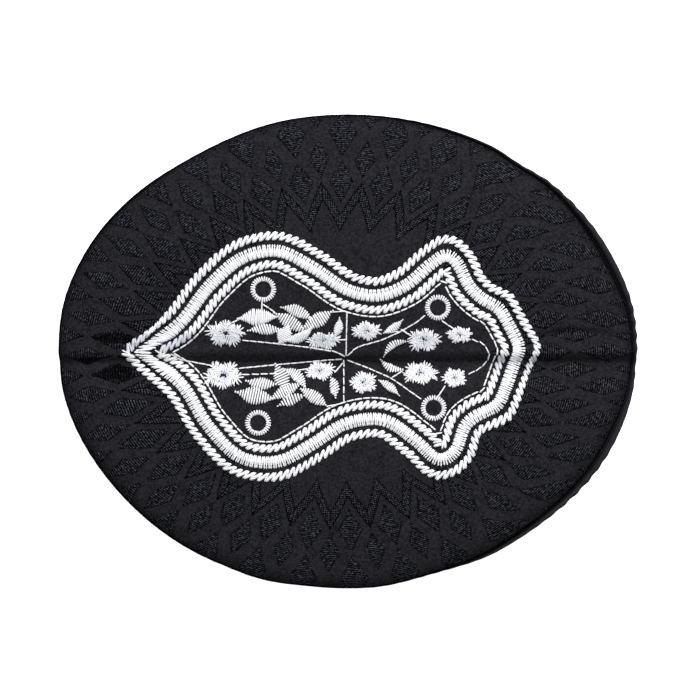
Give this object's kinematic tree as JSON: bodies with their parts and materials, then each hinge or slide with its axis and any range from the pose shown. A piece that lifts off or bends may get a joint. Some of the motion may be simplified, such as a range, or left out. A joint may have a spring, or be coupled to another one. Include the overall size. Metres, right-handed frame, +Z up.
{
  "type": "oval kufi cap with embroidered crown",
  "caption": "Rigid oval kufi of black figured cloth: a creased crown with a white embroidered sandal outline, rings, flowers and leaves, on an upright side band that is open below.",
  "frame": {"origin": "middle of the bounding box at its base, on the surface that the rim stands on", "axes": "+X along the crown's crease, from the embroidered outline's narrow tip towards its broad end; +Z up, out of the crown; +Y across the crease"},
  "size_m": [0.2072, 0.17, 0.0914],
  "materials": {
    "figured_cloth": "black cloth with tone-on-tone figures",
    "band_cloth": "plain smooth black cloth",
    "white_thread": "lustrous white embroidery thread"
  },
  "bodies": {
    "root": {"crown_panel": "figured_cloth", "side_band": "band_cloth", "outer_rope": "white_thread", "satin_band": "white_thread", "inner_rope": "white_thread", "ring_upper_left": "white_thread", "ring_lower_left": "white_thread", "ring_upper_right": "white_thread", "ring_lower_right": "white_thread", "flower_upper_left": "white_thread", "flower_lower_left": "white_thread", "flower_upper_stem": "white_thread", "flower_lower_stem": "white_thread", "flower_upper_middle": "white_thread", "flower_lower_middle": "white_thread", "flower_upper_right": "white_thread", "flower_lower_right": "white_thread", "flower_upper_end": "white_thread", "flower_lower_end": "white_thread", "leaf_upper_1": "white_thread", "leaf_upper_2": "white_thread", "leaf_upper_3": "white_thread", "leaf_upper_4": "white_thread", "leaf_upper_5": "white_thread", "leaf_upper_6": "white_thread", "leaf_upper_7": "white_thread", "leaf_upper_8": "white_thread", "leaf_lower_1": "white_thread", "leaf_lower_2": "white_thread", "leaf_lower_3": "white_thread", "leaf_lower_4": "white_thread", "leaf_lower_5": "white_thread", "leaf_lower_6": "white_thread", "leaf_lower_7": "white_thread", "leaf_lower_8": "white_thread", "leaf_side_upper": "white_thread", "leaf_side_lower": "white_thread", "leaf_crescent_upper": "white_thread", "leaf_crescent_lower": "white_thread"}
  },
  "joints": []
}
